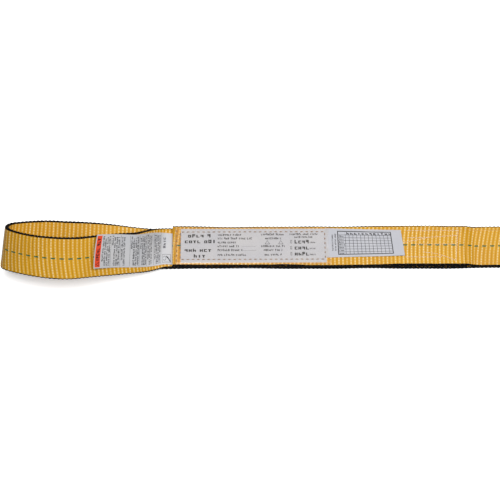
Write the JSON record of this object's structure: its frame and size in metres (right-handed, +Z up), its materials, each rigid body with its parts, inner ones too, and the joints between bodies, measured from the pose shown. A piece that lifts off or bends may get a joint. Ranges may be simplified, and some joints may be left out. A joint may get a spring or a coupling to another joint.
{
  "type": "web sling",
  "caption": "Flat eye-and-eye web sling with a sewn body, open teardrop eyes, sewn label, clear cover and loose label flaps.",
  "frame": {"origin": "centre of the labelled eye's bearing arc, mid width", "axes": "+X along the sling towards the other eye, +Y across the webbing, +Z up from the floor, label face up"},
  "size_m": [1.1562, 0.1097, 0.0845],
  "materials": {
    "webbing": "woven polyester, ribbed, black selvedges",
    "thread": "polyester sewing thread",
    "label_sheet": "printed nylon label",
    "clear_vinyl": "clear flexible vinyl",
    "warning_sheet": "printed label with a red band"
  },
  "bodies": {
    "labelled_body": {"labelled_back_ply": "webbing", "lap_ply": "webbing", "labelled_top_ply": "webbing", "lap_stitching": "thread", "left_edge_stitching": "thread", "label_stitching": "thread", "id_label": "label_sheet", "clear_cover": "clear_vinyl"},
    "second_body": {"second_back_ply": "webbing", "second_top_ply": "webbing", "second_stitching": "thread"},
    "third_body": {"third_back_ply": "webbing", "third_top_ply": "webbing", "third_stitching": "thread"},
    "fourth_body": {"fourth_back_ply": "webbing", "fourth_top_ply": "webbing", "fourth_stitching": "thread", "right_throat_stitching": "thread"},
    "left_throat": {"left_throat_front_ply": "webbing", "left_back_leg": "webbing", "warning_label_root": "warning_sheet"},
    "left_front_leg": {"left_front_leg": "webbing"},
    "left_front_tip": {"left_front_tip": "webbing"},
    "left_back_tip": {"left_back_tip": "webbing"},
    "right_throat": {"right_throat_front_ply": "webbing", "right_back_leg": "webbing"},
    "right_front_leg": {"right_front_leg": "webbing"},
    "right_front_tip": {"right_front_tip": "webbing"},
    "right_back_tip": {"right_back_tip": "webbing"},
    "warning_flap": {"warning_label": "warning_sheet"},
    "inspection_flap": {"inspection_label": "label_sheet"}
  },
  "joints": [
    {"name": "body_bend_1", "type": "hinge", "parent": "labelled_body", "child": "second_body", "pos_m": [0.576, 0.01136, -0.03982], "axis": [0, -1, 0], "range_deg": [-50, 50]},
    {"name": "body_bend_2", "type": "hinge", "parent": "second_body", "child": "third_body", "pos_m": [0.696, 0.01136, -0.03982], "axis": [0, -1, 0], "range_deg": [-50, 50]},
    {"name": "body_bend_3", "type": "hinge", "parent": "third_body", "child": "fourth_body", "pos_m": [0.816, 0.01136, -0.03982], "axis": [0, -1, 0], "range_deg": [-50, 50]},
    {"name": "left_eye_swing", "type": "hinge", "parent": "labelled_body", "child": "left_throat", "pos_m": [0.171, 0.01136, -0.03982], "axis": [0, -1, 0], "range_deg": [-50, 70]},
    {"name": "left_eye_close", "type": "hinge", "parent": "left_throat", "child": "left_front_leg", "pos_m": [0.12968, -0.00611, -0.0069], "axis": [-0.0698, -0.7861, -0.6142], "range_deg": [0, 20]},
    {"name": "left_front_tip_turn", "type": "hinge", "parent": "left_front_leg", "child": "left_front_tip", "pos_m": [0.04801, -0.02204, 0.02276], "axis": [-0.0698, -0.7861, -0.6142], "range_deg": [-21.7, 0.5]},
    {"name": "left_apex_turn", "type": "hinge", "parent": "left_front_tip", "child": "left_back_tip", "pos_m": [-0.01766, 0.00097, 0.00076], "axis": [-0.0698, -0.7861, -0.6142], "range_deg": [-0.5, 24.9]},
    {"name": "right_eye_swing", "type": "hinge", "parent": "fourth_body", "child": "right_throat", "pos_m": [0.942, 0.01136, -0.03982], "axis": [0, -1, 0], "range_deg": [-70, 50]},
    {"name": "right_eye_close", "type": "hinge", "parent": "right_throat", "child": "right_front_leg", "pos_m": [0.98332, 0.02884, -0.0069], "axis": [0.0698, 0.7861, -0.6142], "range_deg": [0, 20]},
    {"name": "right_front_tip_turn", "type": "hinge", "parent": "right_front_leg", "child": "right_front_tip", "pos_m": [1.06499, 0.04477, 0.02276], "axis": [0.0698, 0.7861, -0.6142], "range_deg": [-21.7, 0.5]},
    {"name": "right_apex_turn", "type": "hinge", "parent": "right_front_tip", "child": "right_back_tip", "pos_m": [1.13066, 0.02175, 0.00076], "axis": [0.0698, 0.7861, -0.6142], "range_deg": [-0.5, 24.9]},
    {"name": "warning_label_lift", "type": "hinge", "parent": "left_front_leg", "child": "warning_flap", "pos_m": [0.12495, -0.00622, -0.00037], "axis": [0.0698, 0.7861, 0.6142], "range_deg": [0, 140]},
    {"name": "inspection_label_lift", "type": "hinge", "parent": "labelled_body", "child": "inspection_flap", "pos_m": [0.3656, 0.01136, -0.03028], "axis": [0, -1, 0], "range_deg": [0, 140]}
  ],
  "couplings": [
    {"joint": "left_front_tip_turn", "follows": "left_eye_close", "ratio": -1.07},
    {"joint": "left_apex_turn", "follows": "left_eye_close", "ratio": 1.23},
    {"joint": "right_front_tip_turn", "follows": "right_eye_close", "ratio": -1.07},
    {"joint": "right_apex_turn", "follows": "right_eye_close", "ratio": 1.23}
  ]
}
